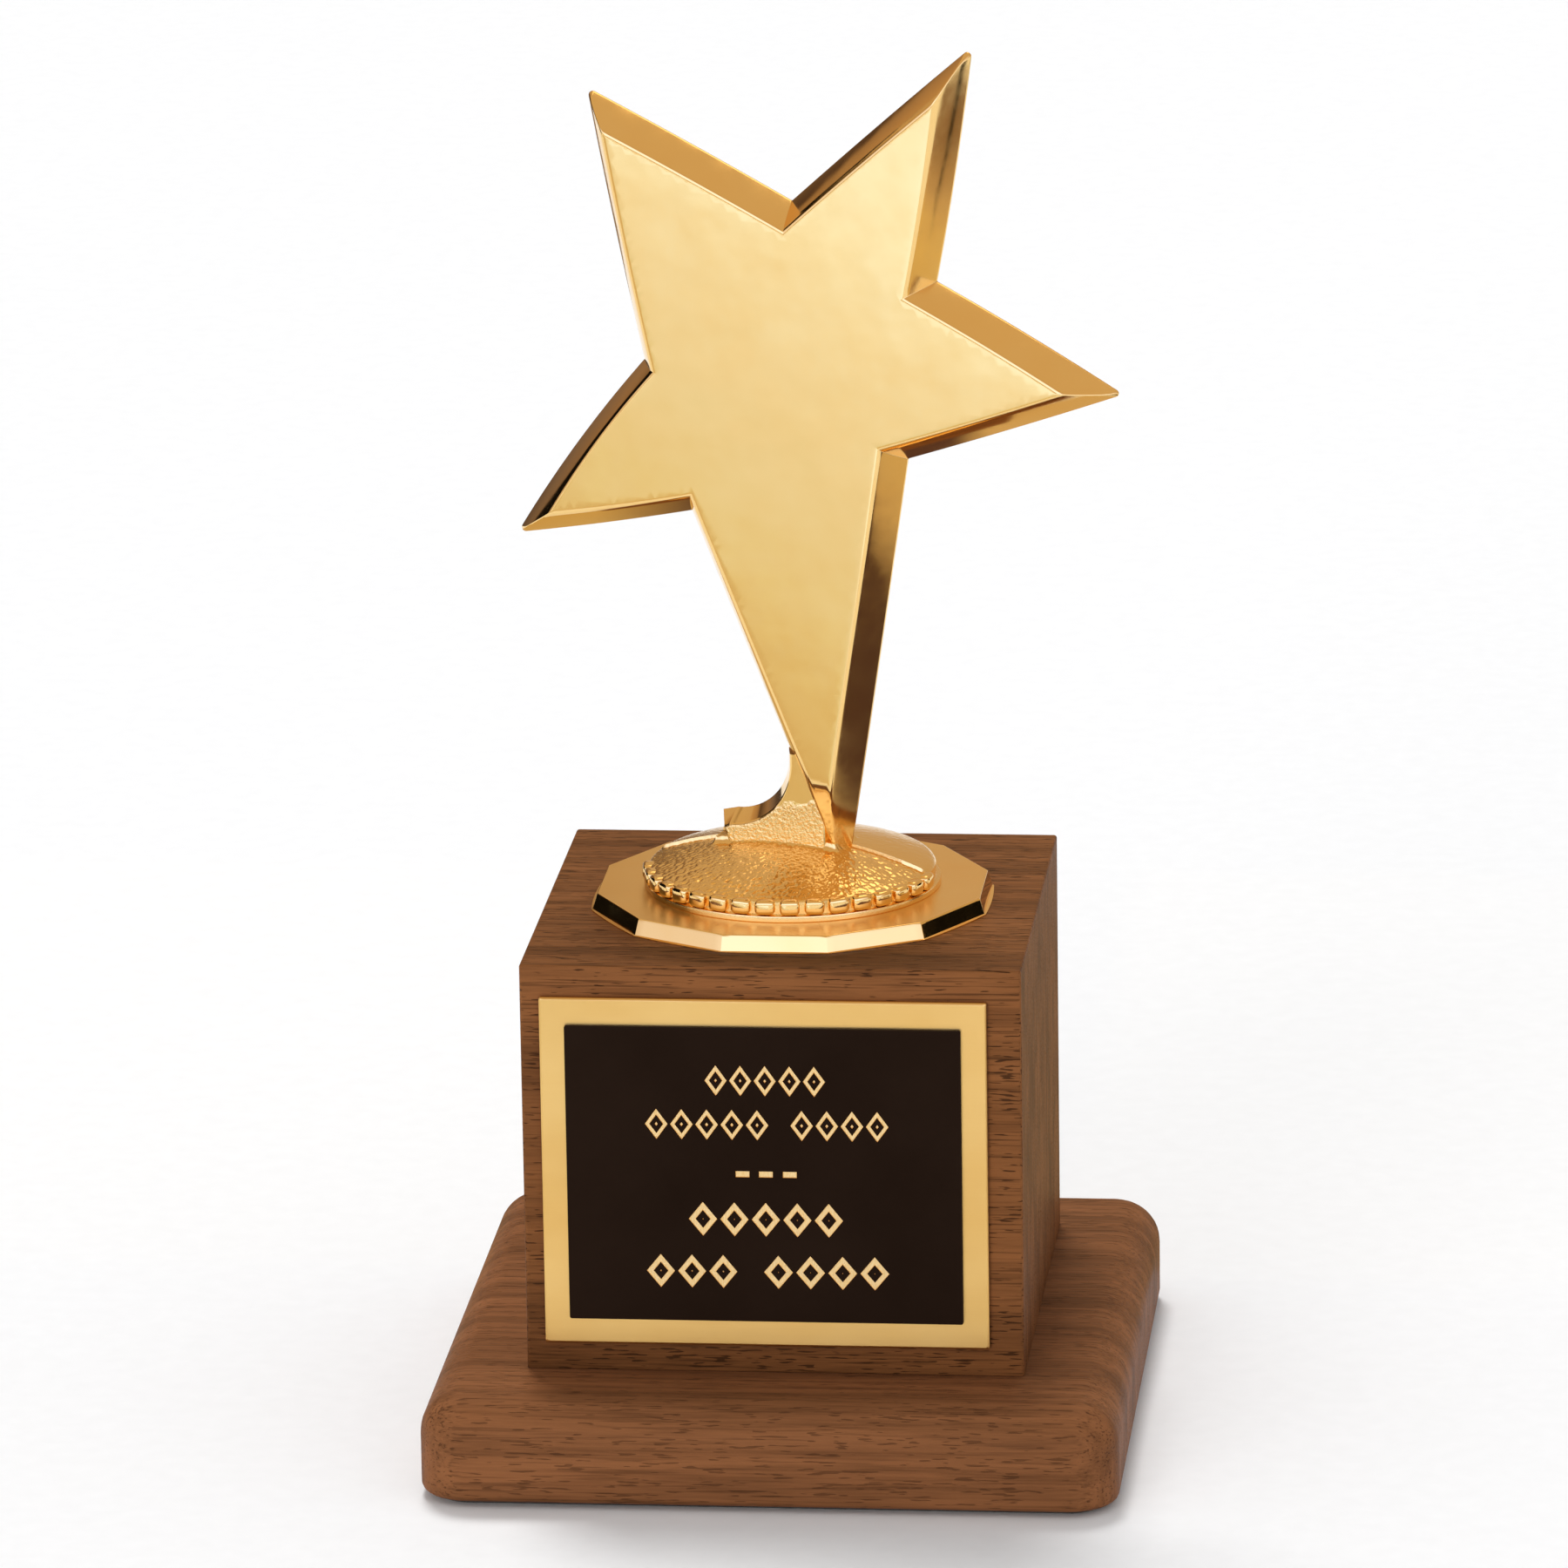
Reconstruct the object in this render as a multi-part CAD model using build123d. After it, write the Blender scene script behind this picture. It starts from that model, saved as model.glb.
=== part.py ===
from build123d import *
import math
import os

# Star trophy: a gold-plated star casting on a twelve-sided collar, a walnut block
# with an engraving plate, and a walnut plinth, held together by one threaded rod.
# Frame: +Z up, +X to the right, the engraving plate faces -Y, and the origin is the
# centre of the underside. All sizes are in millimetres.

os.makedirs("parts", exist_ok=True)

# ---- walnut and felt -----------------------------------------------------------------
FELT_THICKNESS = 0.8
FELT_INSET = 2.5
PLINTH_WIDTH = 106.5
PLINTH_DEPTH = 113.0
PLINTH_HEIGHT = 15.6
PLINTH_TOP_ROUND = 6.35
PLINTH_CORNER_ROUND = 7.5
PLINTH_FOOT_ROUND = 1.5
BLOCK_WIDTH = 76.2
BLOCK_HEIGHT = 64.3
BLOCK_EDGE_BREAK = 0.5

# ---- plates and their adhesive -------------------------------------------------------
BACKING_WIDTH = 68.0
BACKING_HEIGHT = 55.0
BACKING_THICKNESS = 0.8
BACKING_EDGE_BREAK = 0.3
PLATE_BELOW_BLOCK_TOP = 4.8
PLATE_CENTRE_X = -1.1
ENGRAVING_WIDTH = 60.2
ENGRAVING_HEIGHT = 46.6
ENGRAVING_THICKNESS = 0.5
TAPE_THICKNESS = 0.25
TAPE_INSET = 3.0

# ---- collar --------------------------------------------------------------------------
COLLAR_SIDES = 12
COLLAR_HEIGHT = 2.7
COLLAR_TOP_RADIUS = 30.8
COLLAR_FOOT_RADIUS = 31.6
COLLAR_TRIM_RADIUS = 31.25

# ---- dais, beads, star and foot of the casting, measured up from the collar's top -----
DAIS_TOE_RADIUS = 22.9
DAIS_TOE_HEIGHT = 1.0
DAIS_WALL_RADIUS = 22.1
DAIS_RIM_HEIGHT = 3.2
DAIS_CROWN_HEIGHT = 7.2
DAIS_RECESS_DEPTH = 1.6
DAIS_RECESS_RADIUS = 19.5
DAIS_BOSS_RADIUS = 6.5
BEAD_COUNT = 17
BEAD_PITCH_ANGLE = 9.75
BEAD_LAST_ANGLE = 72.5
BEAD_WIDTH = 2.7
BEAD_HEIGHT = 2.0
BEAD_DEPTH = 2.0
BEAD_ROUND = 0.45
BEAD_CENTRE_RADIUS = 21.9

STAR_YAW = 16.0
STAR_HALF_THICKNESS = 5.3
STAR_BEVEL = 3.1
STAR_TIP_ROUND = 0.7
# The star's outline on its middle plane, clockwise from the upper left tip: distance to
# the right of the collar's axis, and height above the collar's top.
STAR_OUTLINE = [
    (-31.9, 123.1),
    (1.5, 107.6),
    (31.2, 133.4),
    (25.0, 96.6),
    (55.0, 81.2),
    (20.0, 68.6),
    (8.9, 0.3),
    (-15.7, 57.8),
    (-45.3, 51.9),
    (-23.2, 81.2),
]
STAR_TIPS_ROUNDED = [0, 2, 4, 8]
LEG_FACET_TOP = 17.4
LEG_FACET_SLOPE = 0.2

FOOT_HALF_THICKNESS = 4.0
FOOT_BEVEL = 1.8
FOOT_LEFT = -11.4
FOOT_RIGHT = 10.2
FOOT_TOE_HEIGHT = 10.7
FOOT_HOLLOW_X = -8.8
FOOT_HOLLOW_HEIGHT = 19.7
FOOT_HOLLOW_RADIUS = 8.4
FOOT_ROOT_HEIGHT = 2.0

# ---- rod, nut, washers and dowels ----------------------------------------------------
ROD_DIAMETER = 6.35
ROD_PITCH = 1.27
ROD_THREAD_DEPTH = 0.7
ROD_INTO_CASTING = 6.0
ROD_CLEARANCE = 0.65
ROD_END_ABOVE_FELT = 0.6
NUT_ACROSS_FLATS = 11.11
NUT_THICKNESS = 5.5
LOCK_WASHER_DIAMETER = 12.4
LOCK_WASHER_THICKNESS = 1.6
LOCK_WASHER_SLIT = 1.2
FENDER_WASHER_DIAMETER = 25.4
FENDER_WASHER_THICKNESS = 1.4
COUNTERBORE_DIAMETER = 28.6
COUNTERBORE_DEPTH = 9.8
DOWEL_DIAMETER = 6.35
DOWEL_OFFSET = 25.0
DOWEL_IN_PLINTH = 8.0
DOWEL_IN_BLOCK = 16.0

# ---- levels worked out from the sizes above ------------------------------------------
PLINTH_BOTTOM = FELT_THICKNESS
PLINTH_TOP = PLINTH_BOTTOM + PLINTH_HEIGHT
BLOCK_TOP = PLINTH_TOP + BLOCK_HEIGHT
COLLAR_TOP = BLOCK_TOP + COLLAR_HEIGHT
COUNTERBORE_TOP = PLINTH_BOTTOM + COUNTERBORE_DEPTH
BLOCK_FRONT = -BLOCK_WIDTH / 2
ROD_HOLE_DIAMETER = ROD_DIAMETER + ROD_CLEARANCE
DOWEL_SIDES = (-1, 1)
OVERCUT = 1.0

# The star's middle plane: local x runs to the right and local y runs up.
yaw = math.radians(STAR_YAW)
star_plane = Plane(
    origin=(0, 0, COLLAR_TOP),
    x_dir=(math.cos(yaw), -math.sin(yaw), 0),
    z_dir=(-math.sin(yaw), -math.cos(yaw), 0),
)


def upright_cylinder(diameter, bottom, top, x=0.0):
    """A cylinder on the Z axis, or beside it, between two levels."""
    centre = Pos(x, 0, (bottom + top) / 2)
    return centre * Cylinder(diameter / 2, top - bottom)


def inset_outline(points, distance):
    """The clockwise outline moved inwards all round by one distance, corners mitred."""
    inset = []
    for index, point in enumerate(points):
        before = Vector(*points[index - 1])
        corner = Vector(*point)
        after = Vector(*points[(index + 1) % len(points)])
        way_in = (corner - before).normalized()
        way_out = (after - corner).normalized()
        inward_in = Vector(way_in.Y, -way_in.X)
        inward_out = Vector(way_out.Y, -way_out.X)
        mitre = (inward_in + inward_out) * (distance / (1 + inward_in.dot(inward_out)))
        inset.append(((corner + mitre).X, (corner + mitre).Y))
    return inset


def bevelled_slab(rim_outline, face_outline, half_thickness):
    """A slab about the star's middle plane whose rim slopes in to both faces."""
    rim = star_plane * rim_outline
    halves = []
    for side in (-1, 1):
        face = star_plane * Pos(0, 0, side * half_thickness) * face_outline
        halves.append(loft([rim, face], ruled=True))
    return halves[0] + halves[1]


def leg_facet(side):
    """The wedge cut away below the star's face, where the leg thins into the foot."""
    reach = STAR_HALF_THICKNESS + OVERCUT
    thin = STAR_HALF_THICKNESS - LEG_FACET_SLOPE * LEG_FACET_TOP
    section = Polygon(
        (side * STAR_HALF_THICKNESS, LEG_FACET_TOP),
        (side * reach, LEG_FACET_TOP),
        (side * reach, 0),
        (side * thin, 0),
        align=None,
    )
    across = Plane(
        origin=star_plane.origin,
        x_dir=star_plane.z_dir,
        z_dir=-star_plane.x_dir,
    )
    return extrude(across * section, amount=2 * DAIS_TOE_RADIUS, both=True)


def make_star():
    """The five-pointed star, bevelled to a ridge all round, with blunt tips."""
    outline = Polygon(*STAR_OUTLINE, align=None)
    face_outline = Polygon(*inset_outline(STAR_OUTLINE, STAR_BEVEL), align=None)
    blank = bevelled_slab(outline, face_outline, STAR_HALF_THICKNESS)
    tips = []
    for index in STAR_TIPS_ROUNDED:
        place = Vector(*STAR_OUTLINE[index])
        tips.append(outline.vertices().sort_by_distance(place)[0])
    blunt_outline = fillet(tips, STAR_TIP_ROUND)
    blunt = extrude(star_plane * blunt_outline, amount=STAR_HALF_THICKNESS, both=True)
    star = blank & blunt
    for side in (-1, 1):
        star = star - leg_facet(side)
    return star


def foot_outline(inset):
    """The fin's outline: a toe on the left and a hollow that sweeps up to the leg."""
    radius = FOOT_HOLLOW_RADIUS + inset
    hollow_right = FOOT_HOLLOW_X + radius
    top = FOOT_HOLLOW_HEIGHT + FOOT_BEVEL
    sweep = CenterArc((FOOT_HOLLOW_X, FOOT_HOLLOW_HEIGHT), radius, -90, 90)
    rim = Polyline(
        (hollow_right, FOOT_HOLLOW_HEIGHT),
        (hollow_right, top),
        (FOOT_RIGHT - inset, top),
        (FOOT_RIGHT - inset, FOOT_ROOT_HEIGHT),
        (FOOT_LEFT + inset, FOOT_ROOT_HEIGHT),
        (FOOT_LEFT + inset, FOOT_TOE_HEIGHT - inset),
        (FOOT_HOLLOW_X, FOOT_HOLLOW_HEIGHT - radius),
    )
    return make_face(sweep + rim)


def make_foot():
    """The fin that joins the star's leg to the dais."""
    return bevelled_slab(foot_outline(0), foot_outline(FOOT_BEVEL), FOOT_HALF_THICKNESS)


def make_dais():
    """The domed dais, with a toe moulding, hollowed out below around the rod's boss."""
    base = COLLAR_TOP
    rim = base + DAIS_RIM_HEIGHT
    crown = base + DAIS_CROWN_HEIGHT
    rise = DAIS_CROWN_HEIGHT - DAIS_RIM_HEIGHT
    sphere_radius = (DAIS_WALL_RADIUS**2 + rise**2) / (2 * rise)
    half_angle = math.asin(DAIS_WALL_RADIUS / sphere_radius) / 2
    middle_x = sphere_radius * math.sin(half_angle)
    middle_z = crown - sphere_radius * (1 - math.cos(half_angle))
    walls = Polyline(
        (0, 0, crown),
        (0, 0, base),
        (DAIS_TOE_RADIUS, 0, base),
        (DAIS_TOE_RADIUS, 0, base + DAIS_TOE_HEIGHT),
        (DAIS_WALL_RADIUS, 0, base + DAIS_TOE_HEIGHT),
        (DAIS_WALL_RADIUS, 0, rim),
    )
    dome = ThreePointArc((DAIS_WALL_RADIUS, 0, rim), (middle_x, 0, middle_z), (0, 0, crown))
    dais = revolve(make_face(walls + dome), Axis.Z)
    recess = upright_cylinder(2 * DAIS_RECESS_RADIUS, base, base + DAIS_RECESS_DEPTH)
    boss = upright_cylinder(2 * DAIS_BOSS_RADIUS, base, base + DAIS_RECESS_DEPTH)
    return dais - (recess - boss)


def make_beads():
    """The row of blocky beads that stands on the toe round the front of the dais."""
    bead = Box(BEAD_WIDTH, BEAD_DEPTH, BEAD_HEIGHT)
    bead = fillet(bead.edges(), BEAD_ROUND)
    height = COLLAR_TOP + DAIS_TOE_HEIGHT + BEAD_HEIGHT / 2
    beads = []
    for index in range(BEAD_COUNT):
        angle = BEAD_LAST_ANGLE - index * BEAD_PITCH_ANGLE
        beads.append(Rot(0, 0, angle) * Pos(0, -BEAD_CENTRE_RADIUS, height) * bead)
    return beads


def make_star_figure():
    """The whole casting: star, foot, dais and beads, with a blind hole for the rod."""
    figure = make_dais() + make_foot() + make_star()
    for bead in make_beads():
        figure = figure + bead
    hole_top = COLLAR_TOP + ROD_INTO_CASTING
    return figure - upright_cylinder(ROD_DIAMETER, COLLAR_TOP, hole_top)


def make_collar():
    """The twelve-sided collar between block and casting; one flat faces the front."""
    turn = 180 / COLLAR_SIDES
    foot = Pos(0, 0, BLOCK_TOP) * RegularPolygon(COLLAR_FOOT_RADIUS, COLLAR_SIDES, rotation=turn)
    top = Pos(0, 0, COLLAR_TOP) * RegularPolygon(COLLAR_TOP_RADIUS, COLLAR_SIDES, rotation=turn)
    collar = loft([foot, top], ruled=True)
    collar = collar & upright_cylinder(2 * COLLAR_TRIM_RADIUS, BLOCK_TOP, COLLAR_TOP)
    return collar - upright_cylinder(ROD_HOLE_DIAMETER, BLOCK_TOP, COLLAR_TOP)


def make_walnut_block():
    """The square block, bored for the rod and for the two dowels below."""
    centre = Pos(0, 0, (PLINTH_TOP + BLOCK_TOP) / 2)
    block = centre * Box(BLOCK_WIDTH, BLOCK_WIDTH, BLOCK_HEIGHT)
    upper_edges = block.edges().group_by(Axis.Z)[-1]
    corner_edges = block.edges().filter_by(Axis.Z)
    block = fillet(upper_edges + corner_edges, BLOCK_EDGE_BREAK)
    block = block - upright_cylinder(ROD_HOLE_DIAMETER, PLINTH_TOP, BLOCK_TOP)
    for side in DOWEL_SIDES:
        top = PLINTH_TOP + DOWEL_IN_BLOCK
        block = block - upright_cylinder(DOWEL_DIAMETER, PLINTH_TOP, top, side * DOWEL_OFFSET)
    return block


def make_walnut_plinth():
    """The wide plinth: rounded top edge, counterbored below for nut and washers."""
    plan = RectangleRounded(PLINTH_WIDTH, PLINTH_DEPTH, PLINTH_CORNER_ROUND)
    plinth = extrude(Pos(0, 0, PLINTH_BOTTOM) * plan, amount=PLINTH_HEIGHT)
    plinth = fillet(plinth.edges().group_by(Axis.Z)[-1], PLINTH_TOP_ROUND)
    plinth = fillet(plinth.edges().group_by(Axis.Z)[0], PLINTH_FOOT_ROUND)
    plinth = plinth - upright_cylinder(ROD_HOLE_DIAMETER, PLINTH_BOTTOM, PLINTH_TOP)
    plinth = plinth - upright_cylinder(COUNTERBORE_DIAMETER, PLINTH_BOTTOM, COUNTERBORE_TOP)
    for side in DOWEL_SIDES:
        bottom = PLINTH_TOP - DOWEL_IN_PLINTH
        hole = upright_cylinder(DOWEL_DIAMETER, bottom, PLINTH_TOP, side * DOWEL_OFFSET)
        plinth = plinth - hole
    return plinth


def make_felt_pad():
    """The felt sheet glued under the plinth; the trophy stands on it."""
    width = PLINTH_WIDTH - 2 * FELT_INSET
    depth = PLINTH_DEPTH - 2 * FELT_INSET
    corner = PLINTH_CORNER_ROUND - FELT_INSET
    return extrude(RectangleRounded(width, depth, corner), amount=FELT_THICKNESS)


def upright_sheet(width, height, thickness, standoff):
    """A thin sheet on the block's front, its back this far in front of the wood."""
    centre_y = BLOCK_FRONT - standoff - thickness / 2
    centre_z = BLOCK_TOP - PLATE_BELOW_BLOCK_TOP - BACKING_HEIGHT / 2
    return Pos(PLATE_CENTRE_X, centre_y, centre_z) * Box(width, thickness, height)


def make_plates():
    """The two plates and the adhesive sheet behind each, from the wood outwards."""
    backing_standoff = TAPE_THICKNESS
    engraving_tape_standoff = backing_standoff + BACKING_THICKNESS
    engraving_standoff = engraving_tape_standoff + TAPE_THICKNESS
    backing = upright_sheet(BACKING_WIDTH, BACKING_HEIGHT, BACKING_THICKNESS, backing_standoff)
    front_edges = backing.edges().group_by(Axis.Y)[0]
    return {
        "backing_tape": upright_sheet(
            BACKING_WIDTH - 2 * TAPE_INSET, BACKING_HEIGHT - 2 * TAPE_INSET, TAPE_THICKNESS, 0
        ),
        "backing_plate": chamfer(front_edges, BACKING_EDGE_BREAK),
        "engraving_tape": upright_sheet(
            ENGRAVING_WIDTH - 2 * TAPE_INSET,
            ENGRAVING_HEIGHT - 2 * TAPE_INSET,
            TAPE_THICKNESS,
            engraving_tape_standoff,
        ),
        "engraving_plate": upright_sheet(
            ENGRAVING_WIDTH, ENGRAVING_HEIGHT, ENGRAVING_THICKNESS, engraving_standoff
        ),
    }


def make_threaded_rod():
    """The rod through the trophy, with its thread as a run of ring-shaped grooves."""
    bottom = FELT_THICKNESS + ROD_END_ABOVE_FELT
    top = COLLAR_TOP + ROD_INTO_CASTING
    crest = ROD_DIAMETER / 2
    root = crest - ROD_THREAD_DEPTH
    turns = int((top - bottom) / ROD_PITCH)
    points = [(0, 0, bottom), (root, 0, bottom)]
    for turn in range(turns):
        start = bottom + turn * ROD_PITCH
        points.append((crest, 0, start + 0.4 * ROD_PITCH))
        points.append((crest, 0, start + 0.6 * ROD_PITCH))
        points.append((root, 0, start + ROD_PITCH))
    points.append((root, 0, top))
    points.append((0, 0, top))
    return revolve(make_face(Polyline(*points, close=True)), Axis.Z)


def make_rod_fasteners():
    """Fender washer, lock washer and nut, stacked down from the counterbore's top."""
    fender_bottom = COUNTERBORE_TOP - FENDER_WASHER_THICKNESS
    lock_bottom = fender_bottom - LOCK_WASHER_THICKNESS
    nut_bottom = lock_bottom - NUT_THICKNESS
    fender = upright_cylinder(FENDER_WASHER_DIAMETER, fender_bottom, COUNTERBORE_TOP)
    fender = fender - upright_cylinder(ROD_HOLE_DIAMETER, fender_bottom, COUNTERBORE_TOP)
    lock = upright_cylinder(LOCK_WASHER_DIAMETER, lock_bottom, fender_bottom)
    lock = lock - upright_cylinder(ROD_HOLE_DIAMETER, lock_bottom, fender_bottom)
    slit = Box(LOCK_WASHER_DIAMETER, LOCK_WASHER_SLIT, 2 * LOCK_WASHER_THICKNESS)
    slit = Pos(LOCK_WASHER_DIAMETER / 2, 0, lock_bottom) * slit
    circumradius = NUT_ACROSS_FLATS / (2 * math.cos(math.pi / 6))
    nut = extrude(Pos(0, 0, nut_bottom) * RegularPolygon(circumradius, 6), amount=NUT_THICKNESS)
    nut = nut - upright_cylinder(ROD_DIAMETER, nut_bottom, lock_bottom)
    return {"fender_washer": fender, "lock_washer": lock - slit, "hex_nut": nut}


def make_locating_dowels():
    """Two wooden dowels that stop the block turning on the plinth."""
    bottom = PLINTH_TOP - DOWEL_IN_PLINTH
    top = PLINTH_TOP + DOWEL_IN_BLOCK
    dowels = []
    for side in DOWEL_SIDES:
        dowels.append(upright_cylinder(DOWEL_DIAMETER, bottom, top, side * DOWEL_OFFSET))
    return Compound(dowels)


nodes = {
    "star_figure": make_star_figure(),
    "faceted_collar": make_collar(),
    "walnut_block": make_walnut_block(),
    "walnut_plinth": make_walnut_plinth(),
    "felt_pad": make_felt_pad(),
    "threaded_rod": make_threaded_rod(),
    "locating_dowels": make_locating_dowels(),
}
nodes.update(make_plates())
nodes.update(make_rod_fasteners())

for name, shape in nodes.items():
    export_step(shape, f"parts/{name}.step")
    print(name, round(shape.volume, 1), "mm3")
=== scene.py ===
import math
import random

import bmesh
import bpy
from mathutils import Matrix, Vector, noise
from mathutils.geometry import delaunay_2d_cdt


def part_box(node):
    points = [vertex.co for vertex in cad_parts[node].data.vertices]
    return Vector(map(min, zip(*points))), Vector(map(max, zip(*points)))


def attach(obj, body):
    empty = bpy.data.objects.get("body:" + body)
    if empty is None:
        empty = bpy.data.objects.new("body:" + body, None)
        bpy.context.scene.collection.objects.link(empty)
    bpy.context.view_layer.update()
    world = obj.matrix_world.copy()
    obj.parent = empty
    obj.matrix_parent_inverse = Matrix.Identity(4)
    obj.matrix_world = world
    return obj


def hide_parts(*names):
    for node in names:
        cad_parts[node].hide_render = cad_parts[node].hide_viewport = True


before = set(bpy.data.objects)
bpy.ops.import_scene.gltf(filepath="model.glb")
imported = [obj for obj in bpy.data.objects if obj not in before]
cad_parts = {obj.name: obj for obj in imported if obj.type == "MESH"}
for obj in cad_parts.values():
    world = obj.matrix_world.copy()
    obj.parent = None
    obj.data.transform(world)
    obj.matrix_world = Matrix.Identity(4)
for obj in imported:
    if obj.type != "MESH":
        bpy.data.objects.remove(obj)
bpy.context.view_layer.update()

# Looks of the star trophy. Lengths are in millimetres and turned into metres where a
# mesh is written. The frame is the CAD's: +Z up, the engraving plate faces -Y.

MM = 0.001
MERGE_DISTANCE = 0.002
SHARP_ANGLE = 32.0
random.seed(7)


def levels(node):
    """The lowest and highest corner of a CAD node, in millimetres."""
    low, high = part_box(node)
    return low / MM, high / MM


plinth_low, plinth_high = levels("walnut_plinth")
block_low, block_high = levels("walnut_block")
collar_low, collar_high = levels("faceted_collar")
backing_low, backing_high = levels("backing_plate")
engraving_low, engraving_high = levels("engraving_plate")
felt_low, felt_high = levels("felt_pad")
COLLAR_TOP = collar_high.z

# ---- sizes ----
# As in the CAD, except that the collar, the beads and the fin's right end follow the
# photograph more closely.
PLINTH_TOP_ROUND = 6.35
PLINTH_CORNER_ROUND = 7.5
PLINTH_FOOT_ROUND = 1.5
BLOCK_EDGE_BREAK = 0.45
BLOCK_FOOT_BREAK = 0.2
BLOCK_CORNER_ROUND = 0.55
ROD_HOLE_RADIUS = 3.5
COUNTERBORE_RADIUS = 14.3
COUNTERBORE_DEPTH = 9.8
FELT_CORNER_ROUND = 5.0

COLLAR_SIDES = 12
COLLAR_TOP_RADIUS = 30.56
COLLAR_FOOT_RADIUS = 31.4
# The thin lip round the collar's foot: its height, how far it reaches, its sides' bow, and
# the share of its height that is upright.
COLLAR_LIP = 0.28
COLLAR_LIP_REACH = 0.14
COLLAR_LIP_BOW = 0.35
COLLAR_LIP_UPRIGHT = 0.7

DAIS_TOE_RADIUS = 22.9
DAIS_TOE_HEIGHT = 1.0
DAIS_WALL_RADIUS = 22.1
DAIS_RIM_HEIGHT = 3.2
DAIS_CROWN_HEIGHT = 7.2
BEAD_COUNT = 17
BEAD_PITCH_ANGLE = 9.75
BEAD_LAST_ANGLE = 72.5
BEAD_CENTRE_RADIUS = 22.1
BEAD_SIZE = Vector((3.3, 2.3, 2.5))

STAR_YAW = math.radians(16.0)
STAR_HALF_THICKNESS = 5.3
# The leg's face ends in a short edge through this point, and a facet falls away below it.
LEG_EDGE = Vector((8.6, 17.2))
LEG_FACET_DOWN = Vector((-0.17, -0.985)).normalized()
LEG_FACET_FALL = 0.2
# Each corner of the star's rim: right of the collar's axis, above the collar's top, the
# corner's radius, and how far the edge that follows it bows outwards at its middle.
STAR_CORNERS = [
    (-31.9, 123.1, 0.7, 0.15),
    (1.5, 107.6, 0.3, 0.15),
    (31.2, 133.4, 0.7, 0.3),
    (25.0, 96.6, 0.3, 0.25),
    (55.0, 81.2, 0.6, 0.15),
    (20.0, 68.6, 0.3, 0.1),
    (8.9, 0.3, 0.3, 0.1),
    (-15.7, 57.8, 0.3, 0.2),
    (-45.3, 51.9, 0.7, 0.7),
    (-23.2, 81.2, 0.3, 0.2),
]

FOOT_HALF_THICKNESS = 4.0
FOOT_BEVEL = 1.8
FOOT_LEFT = -11.4
FOOT_RIGHT = 8.6
FOOT_TOE_HEIGHT = 10.7
FOOT_HOLLOW_X = -8.8
FOOT_HOLLOW_HEIGHT = 19.7
FOOT_HOLLOW_RADIUS = 8.4
FOOT_ROOT_HEIGHT = 2.0
FOOT_STIPPLE_TOP = 13.6

# The star's middle plane: u to the right, n towards the viewer, +Z up.
star_right = Vector((math.cos(STAR_YAW), -math.sin(STAR_YAW), 0))
star_front = Vector((-math.sin(STAR_YAW), -math.cos(STAR_YAW), 0))


def in_star_plane(u, height, n):
    """A point given in the star's own directions, in the row frame."""
    return star_right * u + star_front * n + Vector((0, 0, COLLAR_TOP + height))


# ---- outlines ----
def inset_corners(corners, distance):
    """A clockwise outline's corners moved inwards all round by one distance."""
    moved = []
    for index, corner in enumerate(corners):
        way_in = (corner - corners[index - 1]).normalized()
        way_out = (corners[(index + 1) % len(corners)] - corner).normalized()
        inward_in = Vector((way_in.y, -way_in.x))
        inward_out = Vector((way_out.y, -way_out.x))
        mitre = (inward_in + inward_out) * (distance / (1 + inward_in.dot(inward_out)))
        moved.append(corner + mitre)
    return moved


def corner_arc(before, corner, after, radius, steps):
    """The points round one corner, from edge to edge."""
    to_before = (before - corner).normalized()
    to_after = (after - corner).normalized()
    half_angle = to_before.angle(to_after) / 2
    middle = (to_before + to_after).normalized()
    centre = corner + middle * (radius / math.sin(half_angle))
    reach = radius / math.tan(half_angle)
    start = corner + to_before * reach - centre
    end = corner + to_after * reach - centre
    return [centre + start.slerp(end, step / steps) * radius for step in range(steps + 1)]


def rounded_ring(corners, radii, bows, edge_steps, arc_steps):
    """A closed clockwise ring: an arc at each corner and a gently bowed edge after it."""
    count = len(corners)
    arcs = []
    for index in range(count):
        before = corners[index - 1]
        after = corners[(index + 1) % count]
        arcs.append(corner_arc(before, corners[index], after, radii[index], arc_steps))
    ring = []
    for index, arc in enumerate(arcs):
        ring.extend(arc)
        start = arc[-1]
        end = arcs[(index + 1) % count][0]
        way = (end - start).normalized()
        outward = Vector((-way.y, way.x))
        for step in range(1, edge_steps[index]):
            share = step / edge_steps[index]
            bow = 4 * share * (1 - share) * bows[index]
            ring.append(start.lerp(end, share) + outward * bow)
    return ring


def rectangle_corners(width, height, x=0, y=0):
    """A rectangle's corners, clockwise, about a point."""
    right = width / 2
    up = height / 2
    around = ((-right, up), (right, up), (right, -up), (-right, -up))
    return [Vector((x + dx, y + dy)) for dx, dy in around]


def rectangle_ring(width, height, radius, edge_steps=12, arc_steps=8):
    """A rounded rectangle about the origin, always with the same number of points."""
    corners = rectangle_corners(width, height)
    return rounded_ring(corners, [radius] * 4, [0] * 4, [edge_steps] * 4, arc_steps)


def circle_like(ring, radius):
    """A circle whose points lie in the same directions as another ring's points."""
    return [point.normalized() * radius for point in ring]


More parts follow.
